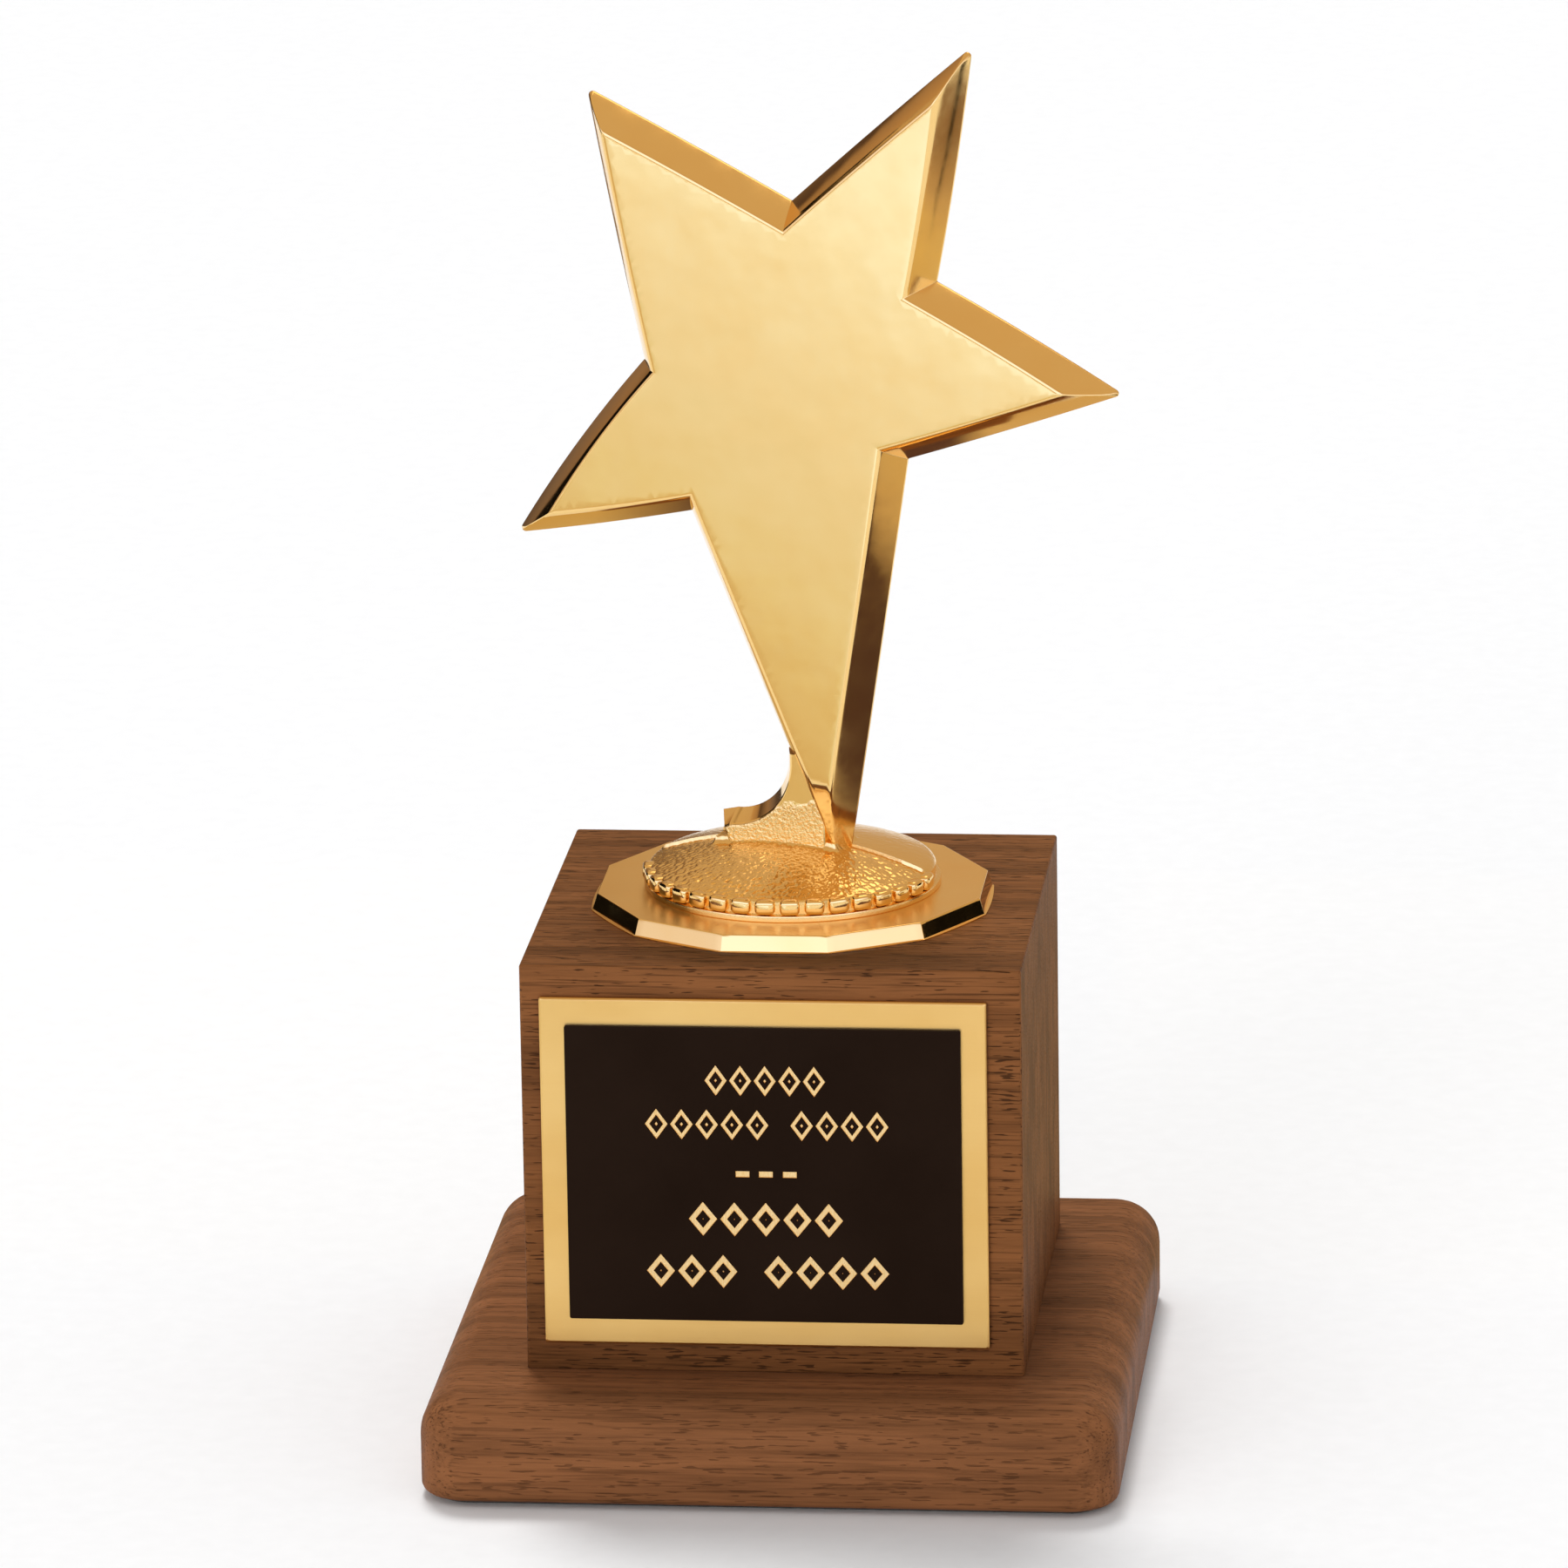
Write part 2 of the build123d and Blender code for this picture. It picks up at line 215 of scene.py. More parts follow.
# ---- surfaces ----
class Surface:
    """Points and faces gathered before they become one mesh."""

    def __init__(self):
        self.points = []
        self.faces = []
        self.face_materials = []

    def add(self, points, faces, material=0):
        start = len(self.points)
        self.points.extend(points)
        self.faces.extend([[start + index for index in face] for face in faces])
        self.face_materials.extend([material] * len(faces))

    def close(self, *rings, material=0):
        """One flat face in each ring."""
        for ring in rings:
            self.add(ring, [list(range(len(ring)))], material)

    def add_rings(self, rings, closed=False, material=0):
        """Quads between each ring and the next, and from the last to the first if closed."""
        count = len(rings[0])
        points = [point for ring in rings for point in ring]
        faces = []
        for level in range(len(rings) if closed else len(rings) - 1):
            low = level * count
            high = ((level + 1) % len(rings)) * count
            for index in range(count):
                after = (index + 1) % count
                faces.append((low + index, low + after, high + after, high + index))
        self.add(points, faces, material)


def make_piece(name, surface, materials, node):
    """Turns a surface into a shaded object that stands for a CAD node and rides with it."""
    mesh = bpy.data.meshes.new(name)
    mesh.from_pydata([Vector(point) * MM for point in surface.points], [], surface.faces)
    for index, polygon in enumerate(mesh.polygons):
        polygon.material_index = surface.face_materials[index]
    cleaner = bmesh.new()
    cleaner.from_mesh(mesh)
    bmesh.ops.remove_doubles(cleaner, verts=cleaner.verts, dist=MERGE_DISTANCE * MM)
    bmesh.ops.recalc_face_normals(cleaner, faces=cleaner.faces)
    cleaner.to_mesh(mesh)
    cleaner.free()
    for material in materials:
        mesh.materials.append(material)
    mesh.shade_smooth()
    mesh.set_sharp_from_angle(angle=math.radians(SHARP_ANGLE))
    piece = bpy.data.objects.new(name, mesh)
    bpy.context.scene.collection.objects.link(piece)
    weighted = piece.modifiers.new("weighted_normals", "WEIGHTED_NORMAL")
    weighted.keep_sharp = True
    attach(piece, "root")
    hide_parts(node)
    return piece


# The triangulation keeps what lies inside its loops, and merges points nearer than this.
KEEP_INSIDE = 1
LOOP_TOLERANCE = 1e-5


def filled_face(border, spacing):
    """Triangles inside a closed border, with a staggered grid of points within it."""
    across, up = zip(*border)
    left, foot = min(across), min(up)
    row_height = spacing * math.sqrt(3) / 2
    rows = int((max(up) - foot) / row_height) + 1
    columns = int((max(across) - left) / spacing) + 2
    grid = []
    for row in range(rows):
        for column in range(columns):
            x = left + (column + row % 2 / 2) * spacing
            grid.append(Vector((x, foot + row * row_height)))
    loop = list(reversed(range(len(border))))
    points, _, triangles, *_ = delaunay_2d_cdt(
        list(border) + grid, [], [loop], KEEP_INSIDE, LOOP_TOLERANCE
    )
    return points, triangles


# ---- star and foot ----
STAR_EDGE_SPACING = 1.2
SHARPEST_CORNER = 0.12
STAR_ARC_STEPS = 6
STAR_FACE_SPACING = 1.5
# A corner's radius shrinks by this share of the inset, as far as SHARPEST_CORNER.
CORNER_SHRINK = 0.6
# The rim's section, from the ridge up to the face: inset and height, up to
# STAR_HALF_THICKNESS.
STAR_PROFILE = [
    (0.08, 0.0),
    (0.10, 0.14),
    (0.15, 0.28),
    (0.64, 1.22),
    (1.13, 2.12),
    (1.64, 3.00),
    (2.16, 3.85),
    (2.60, 4.50),
    (2.82, 4.82),
    (3.00, 5.02),
    (3.20, 5.18),
    (3.44, 5.27),
    (3.74, 5.30),
]


def star_ring(inset):
    """The star's rim moved inwards, always with the same number of points."""
    corners = [Vector(corner[:2]) for corner in STAR_CORNERS]
    sides = zip(corners, corners[1:] + corners[:1])
    steps = [round((end - start).length / STAR_EDGE_SPACING) for start, end in sides]
    radii = [max(SHARPEST_CORNER, corner[2] - CORNER_SHRINK * inset) for corner in STAR_CORNERS]
    bows = [corner[3] for corner in STAR_CORNERS]
    return rounded_ring(inset_corners(corners, inset), radii, bows, steps, STAR_ARC_STEPS)


def star_limit(point):
    """How thick the star may be at a point, for the facet that ends the leg's face."""
    beyond = (point - LEG_EDGE).dot(LEG_FACET_DOWN)
    return STAR_HALF_THICKNESS - LEG_FACET_FALL * max(0, beyond)


def slab(ring_at, profile, limit_at, spacing):
    """A slab about the star's plane: the rim's rings, and a filled face on each side."""

    def moved_off(points, height):
        """Points of the plane moved off it, as far as the slab is thick there."""
        side = math.copysign(1, height)
        return [in_star_plane(p.x, p.y, side * min(abs(height), limit_at(p))) for p in points]

    surface = Surface()
    both = [(inset, -height) for inset, height in reversed(profile[1:])] + profile
    surface.add_rings([moved_off(ring_at(inset), height) for inset, height in both])
    face_inset, face_height = profile[-1]
    points, triangles = filled_face(ring_at(face_inset), spacing)
    for height in (-face_height, face_height):
        surface.add(moved_off(points, height), triangles)
    return surface


FOOT_FACE_SPACING = 1.0
FOOT_ARC_STEPS = 24
FOOT_EDGE_STEPS = 8
FOOT_TOE_FLARE = 2.2
FOOT_PROFILE = [
    (0.06, 0.0),
    (0.12, 0.18),
    (0.90, 2.00),
    (1.64, 3.68),
    (1.74, 3.86),
    (1.90, 3.96),
    (2.20, 4.0),
]


def foot_ring(inset):
    """The fin's rim moved inwards: toe on the left, and the hollow that sweeps up."""
    radius = FOOT_HOLLOW_RADIUS + inset
    centre = Vector((FOOT_HOLLOW_X, FOOT_HOLLOW_HEIGHT))
    top = FOOT_HOLLOW_HEIGHT + FOOT_BEVEL
    ring = []
    for step in range(FOOT_ARC_STEPS + 1):
        angle = math.radians(-90 + 90 * step / FOOT_ARC_STEPS)
        ring.append(centre + Vector((math.cos(angle), math.sin(angle))) * radius)
    corners = [
        ring[-1],
        Vector((ring[-1].x, top)),
        Vector((FOOT_RIGHT - inset, top)),
        Vector((FOOT_RIGHT - inset, FOOT_ROOT_HEIGHT)),
        Vector((FOOT_LEFT + inset * FOOT_TOE_FLARE, FOOT_ROOT_HEIGHT)),
        Vector((FOOT_LEFT + inset, FOOT_TOE_HEIGHT - inset)),
        ring[0],
    ]
    for start, end in zip(corners, corners[1:]):
        for step in range(1, FOOT_EDGE_STEPS + 1):
            ring.append(start.lerp(end, step / FOOT_EDGE_STEPS))
    return ring[:-1]


def foot_limit(_):
    """The fin is equally thick all over."""
    return FOOT_HALF_THICKNESS


# ---- dais and beads ----
DAIS_ANGLE_STEPS = 800
DAIS_RING_SPACING = 0.2
# The back half stands a little prouder, with a crest along the star's plane and, right of
# the fin, a groove in front of it.
DAIS_BACK_RISE = 0.3
DAIS_CREST_RISE = 0.22
DAIS_CREST_WIDTH = 0.9
GROOVE_DEPTH = 0.4
GROOVE_WIDTH = 0.6
GROOVE_END = 18.0
FOOT_FILLET = 1.1
FOOT_FILLET_OVERLAP = 0.3
STIPPLE_SPACING = 0.62
STIPPLE_DEPTH = 0.2
# The stipple's middle level, and its shares behind the crest and at the rim, towards which
# it fades over RIM_FADE.
STIPPLE_MIDDLE = 0.3
STIPPLE_BACK_SHARE = 0.25
STIPPLE_RIM_SHARE = 0.3
RIM_FADE = 0.8


def dome_height(radius):
    """The dais's spherical top."""
    rise = DAIS_CROWN_HEIGHT - DAIS_RIM_HEIGHT
    sphere = (DAIS_WALL_RADIUS**2 + rise**2) / (2 * rise)
    return DAIS_CROWN_HEIGHT - sphere + math.sqrt(sphere**2 - radius**2)


def foot_fillet(u, n):
    """How far the casting rises round the root of the fin."""
    outside_u = max(FOOT_LEFT - u, u - FOOT_RIGHT, 0)
    outside_n = max(abs(n) - FOOT_HALF_THICKNESS + FOOT_FILLET_OVERLAP, 0)
    distance = min(math.hypot(outside_u, outside_n), FOOT_FILLET)
    reach = FOOT_FILLET - distance
    return FOOT_FILLET - math.sqrt(FOOT_FILLET**2 - reach**2)


def stipple(u, n):
    """The cast grain of the dais, in millimetres up or down."""
    nearest = noise.voronoi(Vector((u, n, 0)) / STIPPLE_SPACING)[0][0]
    return STIPPLE_DEPTH * (STIPPLE_MIDDLE - nearest * nearest)


def dais_top(u, n):
    """The height of the dais's top: stippled in front, smoother and prouder behind."""
    radius = math.hypot(u, n)
    height = dome_height(min(radius, DAIS_WALL_RADIUS)) + foot_fillet(u, n)
    rim_fade = min(1, max(0, (DAIS_WALL_RADIUS - radius) / RIM_FADE))
    if n > 0:
        groove = 0
        if FOOT_RIGHT - 1 < u < GROOVE_END:
            groove = GROOVE_DEPTH * max(0, 1 - n / GROOVE_WIDTH)
        return height - groove + stipple(u, n) * max(rim_fade, STIPPLE_RIM_SHARE)
    crest = max(0, 1 + n / DAIS_CREST_WIDTH)
    lift = DAIS_BACK_RISE + DAIS_CREST_RISE * crest * crest
    return height + lift * rim_fade + STIPPLE_BACK_SHARE * stipple(u, n)


def make_dais():
    """The domed dais on a polar grid that has a seam along the star's plane."""
    angles = [2 * math.pi * (step + 0.5) / DAIS_ANGLE_STEPS for step in range(DAIS_ANGLE_STEPS)]

    def ring_at(radius, height=None):
        """One ring of the grid, at a height or else on the dais's top."""
        ring = []
        for angle in angles:
            u = radius * math.cos(angle)
            n = radius * math.sin(angle)
            ring.append(in_star_plane(u, dais_top(u, n) if height is None else height, n))
        return ring

    steps = range(1, int(DAIS_WALL_RADIUS / DAIS_RING_SPACING))
    rings = [ring_at(step * DAIS_RING_SPACING) for step in steps]
    # The softened rim, the wall, the toe below it and the flat underside.
    edge = [
        (DAIS_WALL_RADIUS - 0.12, DAIS_RIM_HEIGHT - 0.02),
        (DAIS_WALL_RADIUS, DAIS_RIM_HEIGHT - 0.18),
        (DAIS_WALL_RADIUS, DAIS_TOE_HEIGHT + 0.12),
        (DAIS_WALL_RADIUS + 0.1, DAIS_TOE_HEIGHT),
        (DAIS_TOE_RADIUS - 0.25, DAIS_TOE_HEIGHT),
        (DAIS_TOE_RADIUS - 0.06, DAIS_TOE_HEIGHT - 0.08),
        (DAIS_TOE_RADIUS, DAIS_TOE_HEIGHT - 0.28),
        (DAIS_TOE_RADIUS, 0.1),
        (DAIS_TOE_RADIUS - 0.1, 0),
        (ROD_HOLE_RADIUS, 0),
    ]
    rings.extend(ring_at(radius, height) for radius, height in edge)
    surface = Surface()
    surface.add_rings(rings)
    surface.close(rings[0], rings[-1])
    return surface


BEAD_SQUARENESS = 0.55
BEAD_AROUND = 28
BEAD_UP = 18
BEAD_LEAST_SCALE = 0.93
BEAD_MOST_TILT = 5


def squared_off(value):
    """A signed power, which squares off a circle's sine and cosine."""
    return math.copysign(abs(value) ** BEAD_SQUARENESS, value)


def make_beads():
    """The row of blocky beads on the dais's toe, each a little different, as cast."""
    surface = Surface()
    for index in range(BEAD_COUNT):
        angle = math.radians(BEAD_LAST_ANGLE - index * BEAD_PITCH_ANGLE)
        scale = Vector([random.uniform(BEAD_LEAST_SCALE, 1.0) for _ in range(3)])
        tilt_angle = math.radians(random.uniform(-BEAD_MOST_TILT, BEAD_MOST_TILT))
        tilt = Matrix.Rotation(tilt_angle, 3, "Y")
        turn = Matrix.Rotation(angle, 3, "Z")
        height = COLLAR_TOP + DAIS_TOE_HEIGHT + BEAD_SIZE.z / 2
        centre = turn @ Vector((0, -BEAD_CENTRE_RADIUS, height))
        rings = []
        for level in range(BEAD_UP + 1):
            rise = math.pi * (level / BEAD_UP - 0.5)
            ring = []
            for step in range(BEAD_AROUND):
                around = 2 * math.pi * step / BEAD_AROUND
                flat = squared_off(math.cos(rise))
                x = flat * squared_off(math.cos(around))
                y = flat * squared_off(math.sin(around))
                point = Vector((x, y, squared_off(math.sin(rise))))
                sized = point * BEAD_SIZE / 2
                ring.append(centre + turn @ (tilt @ (sized * scale)))
            rings.append(ring)
        surface.add_rings(rings)
    return surface


# ---- collar ----
COLLAR_LEVELS = 8
COLLAR_EDGE_ROUND = 0.14
COLLAR_ROUND_STEPS = 3
COLLAR_CORNER_ROUND = 0.25
COLLAR_SIDE_STEPS = 12
COLLAR_CORNER_STEPS = 4


def collar_ring(circumradius, bow=0.0):
    """The collar's twelve-sided outline, its sides straight or bowed outwards."""
    side_angle = 2 * math.pi / COLLAR_SIDES
    corners = []
    for index in range(COLLAR_SIDES):
        angle = -(index + 0.5) * side_angle
        corners.append(Vector((math.sin(angle), -math.cos(angle))) * circumradius)
    radii = [COLLAR_CORNER_ROUND] * COLLAR_SIDES
    bows = [bow] * COLLAR_SIDES
    steps = [COLLAR_SIDE_STEPS] * COLLAR_SIDES
    return rounded_ring(corners, radii, bows, steps, COLLAR_CORNER_STEPS)


def make_collar():
    """The collar's sloping facets, its softened top edge and the hole for the rod."""
    height = collar_high.z - collar_low.z
    wall_top = height - COLLAR_EDGE_ROUND
    lip_radius = COLLAR_FOOT_RADIUS + COLLAR_LIP_REACH
    lip = collar_ring(lip_radius, COLLAR_LIP_BOW)
    rings = [(lip, 0), (lip, COLLAR_LIP * COLLAR_LIP_UPRIGHT)]
    for level in range(COLLAR_LEVELS + 1):
        z = COLLAR_LIP + (wall_top - COLLAR_LIP) * level / COLLAR_LEVELS
        radius = COLLAR_FOOT_RADIUS + (COLLAR_TOP_RADIUS - COLLAR_FOOT_RADIUS) * z / height
        rings.append((collar_ring(radius), z))
    for step in range(1, COLLAR_ROUND_STEPS + 1):
        angle = math.radians(90 * step / COLLAR_ROUND_STEPS)
        radius = COLLAR_TOP_RADIUS - COLLAR_EDGE_ROUND * (1 - math.cos(angle))
        rings.append((collar_ring(radius), wall_top + COLLAR_EDGE_ROUND * math.sin(angle)))
    hole = circle_like(rings[0][0], ROD_HOLE_RADIUS)
    rings.append((hole, height))
    rings.append((hole, 0))
    surface = Surface()
    placed = []
    for ring, z in rings:
        placed.append([Vector((point.x, point.y, collar_low.z + z)) for point in ring])
    surface.add_rings(placed, closed=True)
    return surface


# ---- block, plinth and felt ----
ROUND_STEPS = 10
LEAST_CORNER = 0.1


def at_height(ring, z):
    """A flat ring lifted to a height."""
    return [Vector((point.x, point.y, z)) for point in ring]


def quarter_round(size, corner, radius, step):
    """One ring on a rounded edge and its rise, from the wall towards the flat."""
    angle = math.radians(90 * step / ROUND_STEPS)
    inset = radius * (1 - math.cos(angle))
    rise = radius * math.sin(angle)
    corner_now = max(corner - inset, LEAST_CORNER)
    return rectangle_ring(size.x - 2 * inset, size.y - 2 * inset, corner_now), rise


def rounded_body(low, high, corner, foot_round, top_round, bottom_hole, hole_step):
    """A block with rounded edges, and a bore that may widen at its lower end."""
    size = high - low
    outline = rectangle_ring(size.x, size.y, corner)

    def hole(radius, z):
        return at_height(circle_like(outline, radius), z)

    rings = [hole(bottom_hole, low.z)]
    for step in reversed(range(ROUND_STEPS + 1)):
        ring, rise = quarter_round(size, corner, foot_round, step)
        rings.append(at_height(ring, low.z + foot_round - rise))
    for step in range(ROUND_STEPS + 1):
        ring, rise = quarter_round(size, corner, top_round, step)
        rings.append(at_height(ring, high.z - top_round + rise))
    rings.append(hole(ROD_HOLE_RADIUS, high.z))
    rings.append(hole(ROD_HOLE_RADIUS, low.z + hole_step))
    if bottom_hole > ROD_HOLE_RADIUS:
        rings.append(hole(bottom_hole, low.z + hole_step))
    surface = Surface()
    surface.add_rings(rings, closed=True)
    return surface


def make_block():
    """The block, with its edges only just broken and a plain bore."""
    edges = (BLOCK_CORNER_ROUND, BLOCK_FOOT_BREAK, BLOCK_EDGE_BREAK)
    return rounded_body(block_low, block_high, *edges, ROD_HOLE_RADIUS, 0.0)


def make_plinth():
    """The plinth, with its wide rounded top edge and the counterbore underneath."""
    edges = (PLINTH_CORNER_ROUND, PLINTH_FOOT_ROUND, PLINTH_TOP_ROUND)
    bore = (COUNTERBORE_RADIUS, COUNTERBORE_DEPTH)
    return rounded_body(plinth_low, plinth_high, *edges, *bore)


FELT_FUZZ = 0.12
FELT_FUZZ_STRETCH = 3.2
# The cut edge's section: inset, and height as a share of the sheet's thickness.
FELT_PROFILE = [(0.35, 0), (0.05, 0.15), (0, 0.5), (0.05, 0.85), (0.3, 1)]
FELT_EDGE_STEPS = 90
FELT_CORNER_STEPS = 10


def make_felt():
    """The felt sheet, its cut edge a little uneven."""
    size = felt_high - felt_low
    rings = []
    for inset, share in FELT_PROFILE:
        outline = (size.x - 2 * inset, size.y - 2 * inset, FELT_CORNER_ROUND)
        uneven = []
        for point in rectangle_ring(*outline, FELT_EDGE_STEPS, FELT_CORNER_STEPS):
            place = Vector((point.x, point.y, share * FELT_FUZZ_STRETCH))
            fuzz = FELT_FUZZ * (noise.noise(place) - 1) / 2
            uneven.append(point * (1 + fuzz / point.length))
        rings.append(at_height(uneven, felt_low.z + share * size.z))
    surface = Surface()
    surface.add_rings(rings)
    surface.close(rings[0], rings[-1])
    return surface


# ---- plates ----
PLATE_CORNER_ROUND = 0.35
# Each plate's edge, from its back: inset, and depth behind the face, None for the back.
BACKING_PROFILE = [(0, None), (0, 0.3), (0.05, 0.2), (0.25, 0.03), (0.4, 0)]
ENGRAVING_PROFILE = [(0, None), (0, 0.12), (0.04, 0.04), (0.14, 0)]


def plate_rings(low, high, profile):
    """A plate's rings, from its back round its edge to its face, which faces -Y."""
    size = high - low
    centre = (high + low) / 2
    rings = []
    for inset, depth in profile:
        y = high.y if depth is None else low.y + depth
        outline = rectangle_ring(size.x - 2 * inset, size.z - 2 * inset, PLATE_CORNER_ROUND)
        rings.append([Vector((centre.x + point.x, y, centre.z + point.y)) for point in outline])
    return rings


def make_backing_plate():
    """The gold-coloured plate with its sloping, polished edge."""
    rings = plate_rings(backing_low, backing_high, BACKING_PROFILE)
    surface = Surface()
    surface.add_rings(rings)
    surface.close(rings[0], rings[-1])
    return surface


ENGRAVING_DEPTH = 0.14
ENGRAVING_WALL_LEAN = 0.05
# Engraved ornaments: each group's centre right of and above the plate's centre, its
# width, its height, how many lozenges it holds and how wide their cut line is.
LOZENGE_GROUPS = [
    (0.35, 15.0, 18.7, 4.8, 5, 0.55),
    (-8.6, 8.0, 19.2, 4.8, 5, 0.55),
    (11.6, 8.0, 15.3, 4.8, 4, 0.55),
    (0.2, -7.0, 24.0, 5.4, 5, 0.8),
    (-11.2, -15.35, 14.3, 5.3, 3, 0.8),
    (9.35, -15.35, 19.6, 5.3, 4, 0.8),
]
DASHES = [(-3.25, 0.2), (0.3, 0.2), (3.95, 0.2)]
DASH_SIZE = (2.1, 0.95)
LOZENGE_SHARE = 0.9
LOZENGE_HEART_INSET = 2.2


def lozenge(x, y, width, height):
    """A lozenge's four corners."""
    across = width / 2
    up = height / 2
    return [Vector(p) for p in ((x - across, y), (x, y + up), (x + across, y), (x, y - up))]


def engraved_shapes():
    """Each cut as its outer corners and, for an open lozenge, its inner corners."""
    shapes = []
    for x, y, width, height, count, line in LOZENGE_GROUPS:
        pitch = width / count
        for index in range(count):
            place = x - width / 2 + (index + 0.5) * pitch
            outer = lozenge(place, y, pitch * LOZENGE_SHARE, height)
            shapes.append((outer, inset_corners(outer, line)))
            shapes.append((inset_corners(outer, LOZENGE_HEART_INSET * line), None))
    for x, y in DASHES:
        shapes.append((rectangle_corners(*DASH_SIZE, x, y), None))
    return shapes


def make_engraving_plate():
    """The black plate: its edge, its face with the cuts left out, and the gilt cuts."""
    black, gilt = 0, 1
    size = engraving_high - engraving_low
    centre = (engraving_high + engraving_low) / 2
    surface = Surface()

    def sunk(points, depth):
        """Flat points placed on the plate, this deep behind its face."""
        y = engraving_low.y + depth
        return [Vector((centre.x + point.x, y, centre.z + point.y)) for point in points]

    def add_wall(loop, lean):
        """The sloping wall of one cut, from the face down; gives its foot."""
        foot = sunk(inset_corners(loop, lean), ENGRAVING_DEPTH)
        surface.add_rings([sunk(loop, 0), foot], material=gilt)
        return foot

    rings = plate_rings(engraving_low, engraving_high, ENGRAVING_PROFILE)
    surface.add_rings(rings, material=black)
    surface.close(rings[0], material=black)

    edge = ENGRAVING_PROFILE[-1][0]
    border = rectangle_ring(size.x - 2 * edge, size.z - 2 * edge, PLATE_CORNER_ROUND)
    shapes = engraved_shapes()
    points = list(border)
    loops = [list(reversed(range(len(border))))]
    for outer, inner in shapes:
        for loop in (outer, inner):
            if loop:
                numbers = range(len(points), len(points) + len(loop))
                loops.append(list(reversed(numbers)))
                points.extend(loop)
    flat_points, _, flat_faces, _, _, loops_round_face = delaunay_2d_cdt(
        points, [], loops, KEEP_INSIDE, LOOP_TOLERANCE, True
    )
    uncut = [face for face, inside in zip(flat_faces, loops_round_face) if len(inside) % 2]
    surface.add(sunk(flat_points, 0), uncut, black)

    for outer, inner in shapes:
        foot = add_wall(outer, ENGRAVING_WALL_LEAN)
        if inner:
            surface.add_rings([foot, add_wall(inner, -ENGRAVING_WALL_LEAN)], material=gilt)
        else:
            surface.close(foot, material=gilt)
    return surface


# ---- materials ----
class Nodes:
    """Short ways to add nodes to one tree."""

    def __init__(self, tree):
        self.tree = tree

    def join(self, output, socket):
        self.tree.links.new(output, socket)

    def put(self, value, socket):
        """Gives a socket a number, a colour or another node's output."""
        if isinstance(value, (int, float)):
            socket.default_value = value
        elif isinstance(value, tuple):
            socket.default_value = (*value, 1)
        else:
            self.join(value, socket)

    def along(self, vector, direction):
        """How far a vector reaches in a direction."""
        node = self.tree.nodes.new("ShaderNodeVectorMath")
        node.operation = "DOT_PRODUCT"
        self.join(vector, node.inputs[0])
        node.inputs[1].default_value = direction
        return node.outputs["Value"]

    def spread(self, value, low, high, to_low=0, to_high=1):
        """A value mapped smoothly from one range to another, and held within it."""
        node = self.tree.nodes.new("ShaderNodeMapRange")
        node.interpolation_type = "SMOOTHSTEP"
        self.join(value, node.inputs["Value"])
        names = ("From Min", "From Max", "To Min", "To Max")
        for name, number in zip(names, (low, high, to_low, to_high)):
            node.inputs[name].default_value = number
        return node.outputs["Result"]

    def colours(self, value, stops):
        """The colour at a value, between stops."""
        ramp = self.tree.nodes.new("ShaderNodeValToRGB")
        elements = ramp.color_ramp.elements
        while len(elements) < len(stops):
            elements.new(0.5)
        for element, (place, colour) in zip(elements, stops):
            element.position = place
            element.color = (*colour, 1)
        self.join(value, ramp.inputs["Fac"])
        return ramp.outputs["Color"]

    def blend(self, share, first, second):
        """A mix of two colours."""
        mix = self.tree.nodes.new("ShaderNodeMix")
        mix.data_type = "RGBA"
        for value, index in ((share, 0), (first, 6), (second, 7)):
            self.put(value, mix.inputs[index])
        return mix.outputs[2]

    def maths(self, kind, first, second=0):
        """A sum, a product or another operation of Blender's Math node."""
        node = self.tree.nodes.new("ShaderNodeMath")
        node.operation = kind
        self.put(first, node.inputs[0])
        self.put(second, node.inputs[1])
        return node.outputs["Value"]


class Finish(Nodes):
    """A Principled material, textured in object coordinates."""

    def __init__(self, name, **sockets):
        self.material = bpy.data.materials.new(name)
        self.material.use_nodes = True
        super().__init__(self.material.node_tree)
        self.shader = self.tree.nodes["Principled BSDF"]
        for socket, value in sockets.items():
            self.shader.inputs[socket.replace("_", " ")].default_value = value
        places = self.tree.nodes.new("ShaderNodeTexCoord")
        self.coordinates = places.outputs["Object"]
        self.normal = places.outputs["Normal"]
        self.relief = None

    def noise(self, size, detail=3.0, roughness=0.55, distortion=0.0):
        """Noise whose features measure about this many millimetres along X, Y and Z."""
        mapping = self.tree.nodes.new("ShaderNodeMapping")
        mapping.inputs["Scale"].default_value = [1 / (MM * length) for length in size]
        self.join(self.coordinates, mapping.inputs["Vector"])
        texture = self.tree.nodes.new("ShaderNodeTexNoise")
        texture.inputs["Scale"].default_value = 1.0
        texture.inputs["Detail"].default_value = detail
        texture.inputs["Roughness"].default_value = roughness
        texture.inputs["Distortion"].default_value = distortion
        self.join(mapping.outputs["Vector"], texture.inputs["Vector"])
        return texture.outputs["Fac"]

    def colour(self, output):
        self.join(output, self.shader.inputs["Base Color"])

    def roughness(self, output):
        self.join(output, self.shader.inputs["Roughness"])

    def bump(self, value, depth):
        """Adds relief this many millimetres deep to what the surface has so far."""
        node = self.tree.nodes.new("ShaderNodeBump")
        node.inputs["Strength"].default_value = 1.0
        node.inputs["Distance"].default_value = depth * MM
        self.join(value, node.inputs["Height"])
        if self.relief:
            self.join(self.relief, node.inputs["Normal"])
        self.relief = node.outputs["Normal"]
        self.join(self.relief, self.shader.inputs["Normal"])


GOLD = (0.95, 0.65, 0.26)
GOLD_DEEP = (0.94, 0.62, 0.23)
# The fin's stipple ends in a ragged edge: how far it wanders, and the band it fades over.
STIPPLE_WANDER = 4.0
STIPPLE_FADE = (2.5, 1.5)


